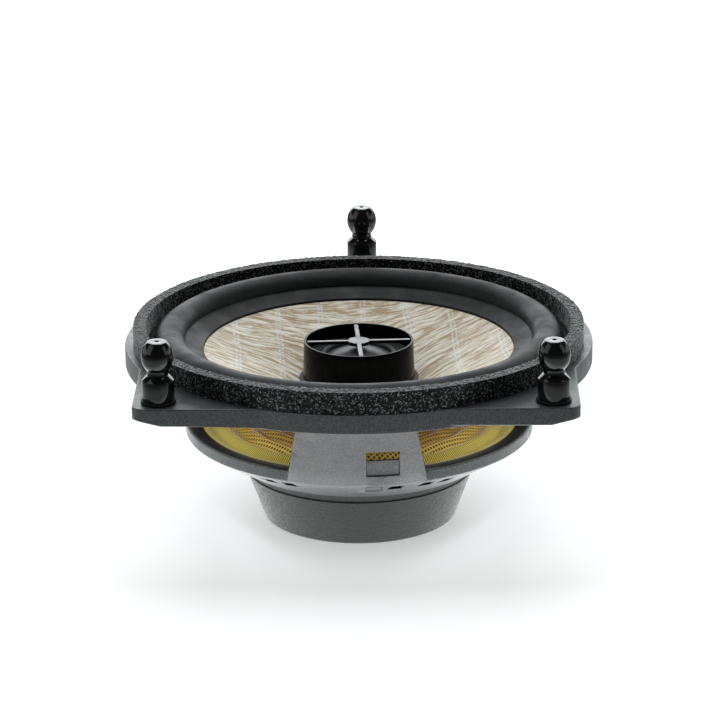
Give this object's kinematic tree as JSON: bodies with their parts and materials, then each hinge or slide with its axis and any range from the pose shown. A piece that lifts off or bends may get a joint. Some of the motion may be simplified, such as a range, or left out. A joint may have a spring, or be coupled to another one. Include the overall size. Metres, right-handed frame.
{
  "type": "coaxial car speaker",
  "caption": "Two-way coaxial car speaker: cast frame with an eared flange and ball studs, woven cone on a rubber surround, and a tweeter on a post in front of the cone.",
  "frame": {"origin": "centre of the motor's flat base", "axes": "+Z along the cone's axis, out of the cone; +Y towards the single rear stud; the stud pair is towards -Y"},
  "size_m": [0.1062, 0.1182, 0.0547],
  "materials": {
    "frame_paint": "fine textured grey paint",
    "gasket_foam": "open grain foam",
    "surround_rubber": "matte",
    "flax_weave": "woven, satin",
    "spider_cloth": "woven and resin stiffened",
    "coil_former": "smooth film",
    "coil_wire": "wound wire",
    "black_plastic": "matte",
    "motor_steel": "plated",
    "magnet_ferrite": "matte",
    "cover_rubber": "moulded, fine grain",
    "screw_steel": "plated",
    "gloss_black": "high gloss",
    "guard_plastic": "satin",
    "dome_film": "satin",
    "board_laminate": "laminated sheet",
    "tab_brass": "bright",
    "capacitor_sleeve": "shrink sleeve",
    "tinsel_braid": "braided",
    "cable_jacket": "satin"
  },
  "bodies": {
    "frame": {"basket": "frame_paint", "foam_gasket": "gasket_foam", "spider_ring": "black_plastic", "front_plate": "motor_steel", "magnet": "magnet_ferrite", "yoke": "motor_steel", "pole_cap": "coil_wire", "motor_cover": "cover_rubber", "motor_screws": "screw_steel", "tweeter_post": "guard_plastic", "post_nut": "screw_steel", "tweeter_base": "black_plastic", "tweeter_housing": "gloss_black", "tweeter_guard": "guard_plastic", "tweeter_faceplate": "black_plastic", "tweeter_plate": "motor_steel", "tweeter_magnet": "magnet_ferrite", "tweeter_pot": "motor_steel", "ball_stud_front_left": "gloss_black", "ball_stud_front_right": "gloss_black", "ball_stud_rear": "gloss_black", "stud_seats": "black_plastic", "stud_screws": "screw_steel", "terminal_board": "board_laminate", "terminal_positive": "tab_brass", "terminal_negative": "tab_brass", "board_rivets": "screw_steel", "crossover_capacitor": "capacitor_sleeve", "capacitor_wires": "screw_steel", "tinsel_lead_left": "tinsel_braid", "tinsel_lead_right": "tinsel_braid", "tweeter_cable": "cable_jacket", "cable_grommet": "cover_rubber"},
    "cone_assembly": {"cone": "flax_weave", "surround": "surround_rubber", "spider": "spider_cloth", "voice_coil_former": "coil_former", "voice_coil_winding": "coil_wire", "lead_eyelets": "tab_brass"},
    "tweeter_diaphragm": {"tweeter_dome": "dome_film", "tweeter_surround": "surround_rubber", "tweeter_coil": "coil_wire"}
  },
  "joints": [
    {"name": "cone_travel", "type": "slide", "parent": "frame", "child": "cone_assembly", "axis": [0, 0, 1], "range_m": [-0.0025, 0.0025], "stiffness_N_per_m": 1800, "deforming": ["surround", "spider", "tinsel_lead_left", "tinsel_lead_right"]},
    {"name": "tweeter_travel", "type": "slide", "parent": "frame", "child": "tweeter_diaphragm", "axis": [0, 0, 1], "range_m": [-0.0003, 0.0003], "stiffness_N_per_m": 5000, "deforming": ["tweeter_surround"]}
  ]
}
